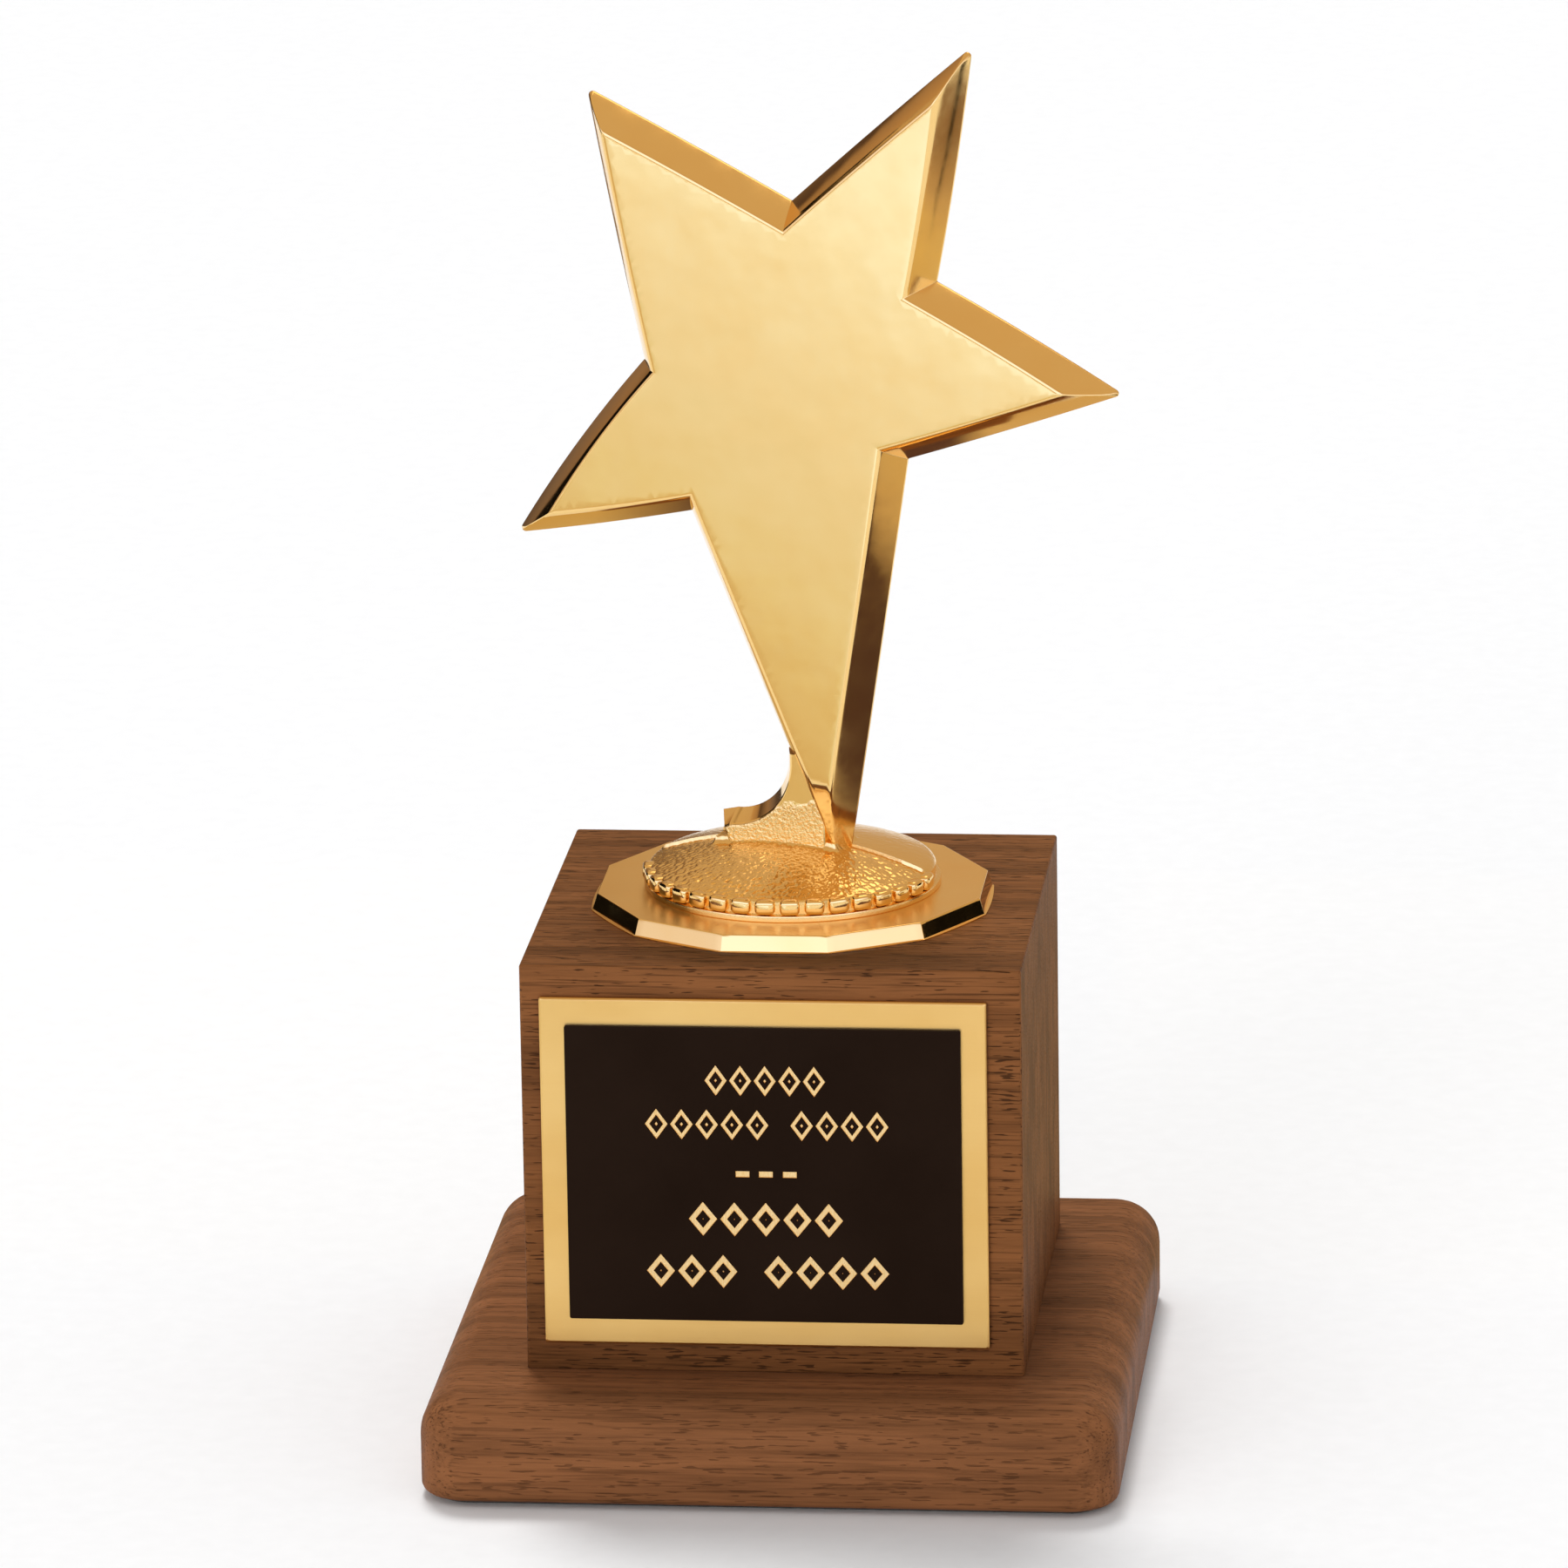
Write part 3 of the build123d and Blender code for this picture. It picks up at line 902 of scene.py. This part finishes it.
def make_gold(name, smoothest, roughest, ripple, grain, stipple_top=None, satin_top=0):
    """Polished gold plate: faint clouding, haze, polishing ripples and a fine grain.

    Its front is stippled below stipple_top, and its level top is rougher by satin_top.
    """
    finish = Finish(name, Metallic=1.0)
    clouds = finish.noise((14, 14, 14), detail=4)
    finish.colour(finish.colours(clouds, [(0.3, GOLD_DEEP), (0.62, GOLD)]))
    haze = finish.noise((5, 5, 5), detail=6, roughness=0.65)
    rough = finish.spread(haze, 0.3, 0.75, smoothest, roughest)
    if satin_top:
        level = finish.along(finish.normal, (0, 0, 1))
        rough = finish.maths("ADD", rough, finish.spread(level, 0.9, 0.98, 0, satin_top))
    finish.roughness(rough)
    finish.bump(finish.noise((9, 9, 9), detail=1.5), ripple)
    finish.bump(finish.noise((0.5, 0.5, 0.5), detail=2), grain)
    if stipple_top:
        height = finish.along(finish.coordinates, (0, 0, 1))
        edge = finish.noise((2.5, 2.5, 2.5), detail=2)
        wander = finish.maths("MULTIPLY", edge, STIPPLE_WANDER * MM)
        none, full = [(stipple_top + fade) * MM for fade in STIPPLE_FADE]
        low_down = finish.spread(finish.maths("ADD", height, wander), none, full)
        in_front = finish.spread(finish.along(finish.normal, star_front), 0.9, 0.97)
        share = finish.maths("MULTIPLY", low_down, in_front)
        grains = finish.noise((0.5, 0.5, 0.5), detail=2)
        finish.bump(finish.maths("MULTIPLY", grains, share), STIPPLE_DEPTH)
    return finish.material


def make_walnut(name, tone, shift, contrast):
    """Oiled walnut, its grain along X: growth bands, dark lines, fibres and short pores."""
    finish = Finish(name, Coat_Weight=0.02, Coat_Roughness=0.25, Specular_IOR_Level=0.04)
    sideways = finish.maths("ABSOLUTE", finish.along(finish.normal, (1, 0, 0)))
    end_share = finish.spread(sideways, 0.5, 0.8)
    place = finish.tree.nodes.new("ShaderNodeMapping")
    place.inputs["Location"].default_value = [length * MM for length in shift]
    finish.join(finish.coordinates, place.inputs["Vector"])
    finish.coordinates = place.outputs["Vector"]
    bands = finish.noise((150, 7, 11), detail=3, distortion=0.35)
    long_streaks = finish.noise((40, 1.6, 1.8), detail=4, roughness=0.6)
    end_streaks = finish.noise((3, 1.7, 34), detail=3, roughness=0.5)
    streaks = finish.blend(end_share, long_streaks, end_streaks)
    long_lines = finish.noise((17, 0.55, 0.42), detail=2, roughness=0.5, distortion=0.2)
    end_lines = finish.noise((3, 0.8, 14), detail=2, roughness=0.4)
    lines = finish.blend(end_share, long_lines, end_lines)
    fibres = finish.noise((9, 0.32, 0.32), detail=3, roughness=0.6)
    shades = (0.50, 1.28, 0.20)
    dark, light, pore_colour = [tuple(shade * part for part in tone) for shade in shades]
    base = finish.colours(bands, [(0.30, dark), (0.50, tone), (0.68, light)])
    streaked = finish.blend(finish.spread(streaks, 0.42, 0.66, 0, 0.55), base, dark)
    line_share = finish.spread(lines, 0.53, 0.66, 0, 0.62 * contrast)
    lined = finish.blend(line_share, streaked, pore_colour)
    fibred = finish.blend(finish.spread(fibres, 0.35, 0.7, 0, 0.35), lined, light)
    pores = finish.noise((3.4, 0.32, 0.34), detail=1, roughness=0.4)
    zones = finish.noise((60, 5, 6), detail=2)
    porous = finish.maths("ADD", pores, finish.spread(zones, 0.35, 0.7, -0.02, 0.05))
    pore_mask = finish.spread(porous, 0.635, 0.69)
    pore_share = finish.maths("MULTIPLY", pore_mask, 0.85 * contrast)
    finish.colour(finish.blend(pore_share, fibred, pore_colour))
    finish.roughness(finish.spread(fibres, 0.3, 0.7, 0.42, 0.58))
    finish.bump(fibres, 0.02)
    finish.bump(finish.maths("SUBTRACT", 1, lines), 0.04)
    finish.bump(finish.maths("SUBTRACT", 1, pore_mask), 0.07)
    return finish.material


def make_satin_brass():
    """The backing plate: rolled brass colour, brushed fine along X."""
    finish = Finish("satin_brass", Metallic=1.0)
    clouds = finish.noise((30, 10, 18), detail=3)
    brasses = [(0.3, (0.79, 0.48, 0.14)), (0.65, (0.86, 0.56, 0.19))]
    finish.colour(finish.colours(clouds, brasses))
    brush = finish.noise((16, 0.12, 0.12), detail=3)
    finish.roughness(finish.spread(brush, 0.3, 0.7, 0.30, 0.42))
    finish.bump(brush, 0.004)
    return finish.material


def make_black_lacquer():
    """The engraving plate's black coat, with the faintest unevenness."""
    finish = Finish("black_lacquer", Specular_IOR_Level=0.05, Specular_Tint=(1, 0.75, 0.5, 1))
    clouds = finish.noise((22, 22, 22), detail=4)
    blacks = [(0.3, (0.011, 0.005, 0.003)), (0.7, (0.016, 0.008, 0.005))]
    finish.colour(finish.colours(clouds, blacks))
    finish.roughness(finish.spread(clouds, 0.3, 0.7, 0.34, 0.44))
    finish.bump(finish.noise((0.4, 0.4, 0.4), detail=3), 0.002)
    return finish.material


# The noise values between which a mottled finish runs from its first tone to its second.
MOTTLE_RANGE = (0.3, 0.7)
# Such finishes: texture, two tones, two roughnesses, relief and other sockets.
MOTTLED = {
    "engraved_gilt": (
        {"size": (0.15, 0.15, 1.2), "detail": 2},
        ((0.85, 0.55, 0.2), (0.95, 0.72, 0.36)),
        (0.36, 0.5),
        0.01,
        {"Metallic": 1.0},
    ),
    "felt": (
        {"size": (0.25, 0.25, 0.25), "detail": 5, "roughness": 0.7, "distortion": 0.8},
        ((0.012, 0.009, 0.007), (0.045, 0.034, 0.026)),
        (0.85, 1.0),
        0.15,
        {"Sheen_Weight": 0.5, "Sheen_Roughness": 0.6},
    ),
    "zinc_steel": (
        {"size": (1.2, 1.2, 1.2), "detail": 5},
        ((0.48, 0.48, 0.47), (0.68, 0.69, 0.70)),
        (0.28, 0.45),
        0.01,
        {"Metallic": 1.0},
    ),
    "beech": (
        {"size": (0.5, 0.5, 12), "detail": 4},
        ((0.42, 0.27, 0.15), (0.62, 0.43, 0.27)),
        (0.55, 0.7),
        0.03,
        {},
    ),
    "adhesive_film": (
        {"size": (3, 3, 3), "detail": 4},
        ((0.42, 0.40, 0.36), (0.56, 0.54, 0.50)),
        (0.35, 0.5),
        0.02,
        {"Coat_Weight": 0.1},
    ),
    "floor_paper": (
        {"size": (4, 4, 4), "detail": 3},
        ((0.92, 0.92, 0.92), (0.94, 0.94, 0.94)),
        (0.85, 0.95),
        0,
        {"Specular_IOR_Level": 0.1},
    ),
}


def make_mottled(name):
    """A finish whose tone, roughness and relief all follow one noise texture."""
    texture, tones, roughnesses, relief, sockets = MOTTLED[name]
    finish = Finish(name, **sockets)
    mottle = finish.noise(**texture)
    finish.colour(finish.colours(mottle, list(zip(MOTTLE_RANGE, tones))))
    finish.roughness(finish.spread(mottle, *MOTTLE_RANGE, *roughnesses))
    if relief:
        finish.bump(mottle, relief)
    return finish.material


# ---- pieces ----
gold_star = make_gold("gold_star", 0.075, 0.14, 0.05, 0.0006)
gold_dais = make_gold("gold_dais", 0.16, 0.24, 0.02, 0.02)
gold_foot = make_gold("gold_foot", 0.08, 0.15, 0.04, 0.0006, COLLAR_TOP + FOOT_STIPPLE_TOP)
gold_collar = make_gold("gold_collar", 0.05, 0.10, 0.012, 0.0004, satin_top=0.25)
walnut_block = make_walnut("walnut_block", (0.208, 0.079, 0.026), (0, 0, 0), 1.0)
walnut_plinth = make_walnut("walnut_plinth", (0.245, 0.096, 0.037), (31, 17, 43), 0.6)
satin_brass = make_satin_brass()
black_lacquer = make_black_lacquer()
engraved_gilt = make_mottled("engraved_gilt")
felt_cloth = make_mottled("felt")

star_surface = slab(star_ring, STAR_PROFILE, star_limit, STAR_FACE_SPACING)
foot_surface = slab(foot_ring, FOOT_PROFILE, foot_limit, FOOT_FACE_SPACING)
plate_finishes = [black_lacquer, engraved_gilt]
make_piece("star", star_surface, [gold_star], "star_figure")
make_piece("star_foot", foot_surface, [gold_foot], "star_figure")
make_piece("star_dais", make_dais(), [gold_dais], "star_figure")
make_piece("bead_row", make_beads(), [gold_star], "star_figure")
make_piece("collar", make_collar(), [gold_collar], "faceted_collar")
make_piece("block", make_block(), [walnut_block], "walnut_block")
make_piece("plinth", make_plinth(), [walnut_plinth], "walnut_plinth")
make_piece("gold_plate_frame", make_backing_plate(), [satin_brass], "backing_plate")
make_piece(
    "engraved_plate", make_engraving_plate(), plate_finishes, "engraving_plate"
)
felt = make_piece("felt_sheet", make_felt(), [felt_cloth], "felt_pad")

# The hidden CAD nodes stay as they are, with a finish of their own.
carried_over = [
    ("zinc_steel", ("threaded_rod", "hex_nut", "lock_washer", "fender_washer")),
    ("beech", ("locating_dowels",)),
    ("adhesive_film", ("backing_tape", "engraving_tape")),
]
for finish_name, node_names in carried_over:
    material = make_mottled(finish_name)
    for node_name in node_names:
        node_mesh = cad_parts[node_name].data
        node_mesh.materials.clear()
        node_mesh.materials.append(material)


# ---- floor, light and camera ----
FLOOR_RADIUS = 5.0
FLOOR_SIDES = 96
ROOM_EVEN = (0.57, 0.57, 0.575)
WINDOW_COLOUR = (1.35, 1.52, 2.35)
# Where the window starts and is full, by a direction's Y, and by its Z at foot and head.
WINDOW_SIDES = (-0.10, -0.75)
WINDOW_FOOT = (0.02, 0.10)
WINDOW_HEAD = (0.62, 0.40)
# The warm room by height, from just below the horizon up to overhead.
ROOM_RANGE = (-0.1, 1.0)
ROOM_STOPS = [
    (0.0, (0.80, 0.74, 0.66)),
    (0.03, (0.58, 0.44, 0.30)),
    (0.12, (0.58, 0.41, 0.23)),
    (0.45, (0.58, 0.42, 0.25)),
    (1.0, (0.66, 0.50, 0.32)),
]


def make_floor():
    """A wide, plain, pale floor."""
    mesh = bpy.data.meshes.new("floor")
    rim = []
    for index in range(FLOOR_SIDES):
        angle = 2 * math.pi * index / FLOOR_SIDES
        rim.append((FLOOR_RADIUS * math.cos(angle), FLOOR_RADIUS * math.sin(angle), 0))
    mesh.from_pydata(rim, [], [list(range(FLOOR_SIDES))])
    floor = bpy.data.objects.new("floor", mesh)
    bpy.context.scene.collection.objects.link(floor)
    mesh.materials.append(make_mottled("floor_paper"))


def make_world():
    """A pale even room; polished metal sees it warmer, with a bright window in front."""
    world = bpy.data.worlds.new("studio")
    bpy.context.scene.world = world
    world.use_nodes = True
    nodes = Nodes(world.node_tree)
    direction = nodes.tree.nodes.new("ShaderNodeTexCoord").outputs["Generated"]
    height = nodes.along(direction, (0, 0, 1))
    room = nodes.colours(nodes.spread(height, *ROOM_RANGE), ROOM_STOPS)
    in_front = nodes.spread(nodes.along(direction, (0, 1, 0)), *WINDOW_SIDES)
    above_foot = nodes.spread(height, *WINDOW_FOOT)
    below_head = nodes.spread(height, *WINDOW_HEAD)
    upright = nodes.maths("MULTIPLY", above_foot, below_head)
    bright = nodes.maths("MULTIPLY", in_front, upright)
    reflected = nodes.blend(bright, room, WINDOW_COLOUR)
    is_reflection = nodes.tree.nodes.new("ShaderNodeLightPath").outputs["Is Glossy Ray"]
    seen = nodes.blend(is_reflection, ROOM_EVEN, reflected)
    nodes.join(seen, nodes.tree.nodes["Background"].inputs["Color"])


def add_sun(name, place, strength, angle):
    """A broad, soft distant light from one side, which itself shows in no reflection."""
    light = bpy.data.lights.new(name, "SUN")
    light.energy = strength
    light.angle = math.radians(angle)
    sun = bpy.data.objects.new(name, light)
    sun.rotation_euler = Vector(place).to_track_quat("Z", "Y").to_euler()
    sun.visible_glossy = False
    bpy.context.scene.collection.objects.link(sun)


def add_card(name, corners, stops, along):
    """A studio card that shows only in polished metal; its tone runs along a direction."""
    mesh = bpy.data.meshes.new(name)
    mesh.from_pydata(corners, [], [list(range(len(corners)))])
    card = bpy.data.objects.new(name, mesh)
    bpy.context.scene.collection.objects.link(card)
    matt = {"Specular_IOR_Level": 0.0, "Roughness": 1.0, "Base_Color": (0, 0, 0, 1)}
    finish = Finish(name, Emission_Strength=1.0, **matt)
    low, high = stops[0][0], stops[-1][0]
    reach = finish.along(finish.coordinates, along / (high - low))
    share = finish.maths("ADD", reach, -low / (high - low))
    even = [((place - low) / (high - low), colour) for place, colour in stops]
    finish.join(finish.colours(share, even), finish.shader.inputs["Emission Color"])
    mesh.materials.append(finish.material)
    card.visible_camera = False
    card.visible_diffuse = False
    card.visible_shadow = False


# How far the upright cards stand from the axis, in metres.
CARD_DISTANCE = 0.6


def add_upright_card(name, start_angle, end_angle, bottom, top, stops):
    """An upright card between two directions, counted from -Y towards +X."""
    ends = []
    for angle in (start_angle, end_angle):
        turned = math.radians(angle)
        ends.append(Vector((math.sin(turned), -math.cos(turned), 0)) * CARD_DISTANCE)
    start, end = ends
    up = Vector((0, 0, 1))
    corners = [start + up * bottom, end + up * bottom, end + up * top, start + up * top]
    add_card(name, corners, stops, up)


def add_level_card(name, low, high, z, stops, along):
    """A level card between two opposite corners, at a height."""
    (x0, y0), (x1, y1) = low, high
    corners = [(x0, y0, z), (x1, y0, z), (x1, y1, z), (x0, y1, z)]
    add_card(name, corners, stops, along)


# The level cards' heights, in metres.
FLOOR_CARD = 0.001
STREAK_CARD = 0.002
OVERHEAD_CARD = 1.2
BLACK_CARD = (0.006, 0.005, 0.004)
BROWN_CARD = (0.08, 0.045, 0.04)
WARM_CARD = (0.26, 0.17, 0.09)
# Tones by distance in metres: up the upright cards, along X on the cards at the right,
# behind and overhead, and towards the front left on the card in front.
BLACK_TONES = [(0.0, BLACK_CARD), (1.0, BLACK_CARD)]
BACK_TONES = [(0.0, WARM_CARD), (1.0, WARM_CARD)]
RIGHT_TONES = [
    (0.17, (0.70, 0.58, 0.42)),
    (0.195, BROWN_CARD),
    (0.285, BROWN_CARD),
    (0.304, (0.60, 0.46, 0.28)),
    (0.39, (0.76, 0.60, 0.30)),
    (0.43, (0.60, 0.44, 0.28)),
    (0.47, (0.30, 0.20, 0.13)),
    (0.60, (0.12, 0.07, 0.05)),
]
# The card behind: a warm table tone, with the block's shadow on it painted as the dark band
# about X = 0.
BEHIND_TONES_WITH_PAINTED_SHADOW = [
    (-0.20, (0.64, 0.46, 0.20)),
    (-0.050, (0.62, 0.44, 0.18)),
    (-0.026, (0.10, 0.05, 0.04)),
    (0.030, (0.10, 0.05, 0.04)),
    (0.037, (0.66, 0.48, 0.24)),
    (0.20, (0.66, 0.48, 0.24)),
]
FRONT_TONES = [
    (0.26, (0.72, 0.62, 0.44)),
    (0.325, (0.74, 0.66, 0.48)),
    (0.372, (0.79, 0.73, 0.54)),
    (0.395, (0.86, 0.89, 0.80)),
    (0.48, (0.88, 0.94, 1.02)),
    (0.545, (0.94, 0.99, 1.10)),
    (0.62, (0.96, 1.01, 1.10)),
    (0.66, (1.00, 1.11, 1.32)),
    (0.71, (1.10, 1.32, 1.82)),
    (0.80, (1.12, 1.40, 2.05)),
]
FRONT_TONES_ALONG = Vector((1.2, -1.936, 0))
OVERHEAD_TONES = [
    (-0.45, (0.40, 0.28, 0.15)),
    (-0.15, (0.68, 0.50, 0.30)),
    (0.0, (2.20, 1.75, 1.20)),
    (0.45, (2.40, 1.90, 1.30)),
]
BACK_LEFT_TONES = [
    (0.0, BLACK_CARD),
    (0.13, (0.10, 0.07, 0.055)),
    (0.18, (0.20, 0.14, 0.11)),
    (0.25, (0.30, 0.19, 0.12)),
    (0.33, (0.14, 0.09, 0.06)),
    (0.374, (0.07, 0.04, 0.03)),
    (0.388, (0.35, 0.22, 0.12)),
    (0.42, (0.42, 0.26, 0.14)),
    (0.50, (0.56, 0.36, 0.18)),
]

make_floor()
make_world()
add_sun("back_light", (-0.12, 0.42, 0.9), 1.6, 16)
add_sun("front_light", (-0.35, -0.9, 0.18), 0.95, 30)
add_upright_card("card_left", -130, -80, 0.045, 0.46, BLACK_TONES)
add_upright_card("card_back_left", -158, -130, 0.06, 0.50, BACK_LEFT_TONES)
add_upright_card("card_right", 105, 122, 0.0, 0.16, BLACK_TONES)
add_upright_card("card_back", -170, -158, 0.03, 0.32, BACK_TONES)
along_x = Vector((1, 0, 0))
add_level_card("card_right_low", (0.17, -0.16), (0.56, 0.04), FLOOR_CARD, RIGHT_TONES, along_x)
# The card behind carries the block's painted shadow, seen only in reflections.
add_level_card("card_behind_painted_shadow", (-0.2, 0.062), (0.2, 0.3), FLOOR_CARD, BEHIND_TONES_WITH_PAINTED_SHADOW, along_x)
add_level_card(
    "card_front_low", (-1.1, -1.0), (-0.05, -0.20), FLOOR_CARD, FRONT_TONES, FRONT_TONES_ALONG
)
add_level_card(
    "card_overhead", (-0.45, 0.25), (0.45, 0.9), OVERHEAD_CARD, OVERHEAD_TONES, along_x
)
streak = [(0.395, -0.034), (0.62, -0.075), (0.62, -0.030)]
streak_corners = [(x, y, STREAK_CARD) for x, y in streak]
add_card("card_right_streak", streak_corners, BLACK_TONES, along_x)

CAMERA_AZIMUTH = math.radians(5.795)
CAMERA_ELEVATION = math.radians(15.458)
CAMERA_ROLL = math.radians(-0.878)
CAMERA_DISTANCE = 1.6
CAMERA_TARGET = Vector((-0.001168, 0, 0.0990))
CAMERA_LENS = 238.56
SENSOR_WIDTH = 36.0
CLIP_RANGE = (0.1, 20)


def make_camera():
    """The camera at the photograph's viewing angle."""
    data = bpy.data.cameras.new("camera")
    data.sensor_width = SENSOR_WIDTH
    data.lens = CAMERA_LENS
    data.clip_start, data.clip_end = CLIP_RANGE
    camera = bpy.data.objects.new("camera", data)
    level = math.cos(CAMERA_ELEVATION)
    right = Vector((math.cos(CAMERA_AZIMUTH), math.sin(CAMERA_AZIMUTH), 0))
    back = Vector((
        math.sin(CAMERA_AZIMUTH) * level,
        -math.cos(CAMERA_AZIMUTH) * level,
        math.sin(CAMERA_ELEVATION),
    ))
    up = back.cross(right)
    rolled_right = right * math.cos(CAMERA_ROLL) + up * math.sin(CAMERA_ROLL)
    rolled_up = up * math.cos(CAMERA_ROLL) - right * math.sin(CAMERA_ROLL)
    axes = Matrix((rolled_right, rolled_up, back)).transposed().to_4x4()
    camera.matrix_world = Matrix.Translation(CAMERA_TARGET + back * CAMERA_DISTANCE) @ axes
    bpy.context.scene.collection.objects.link(camera)
    bpy.context.scene.camera = camera


make_camera()
bpy.context.scene.view_settings.view_transform = "Standard"
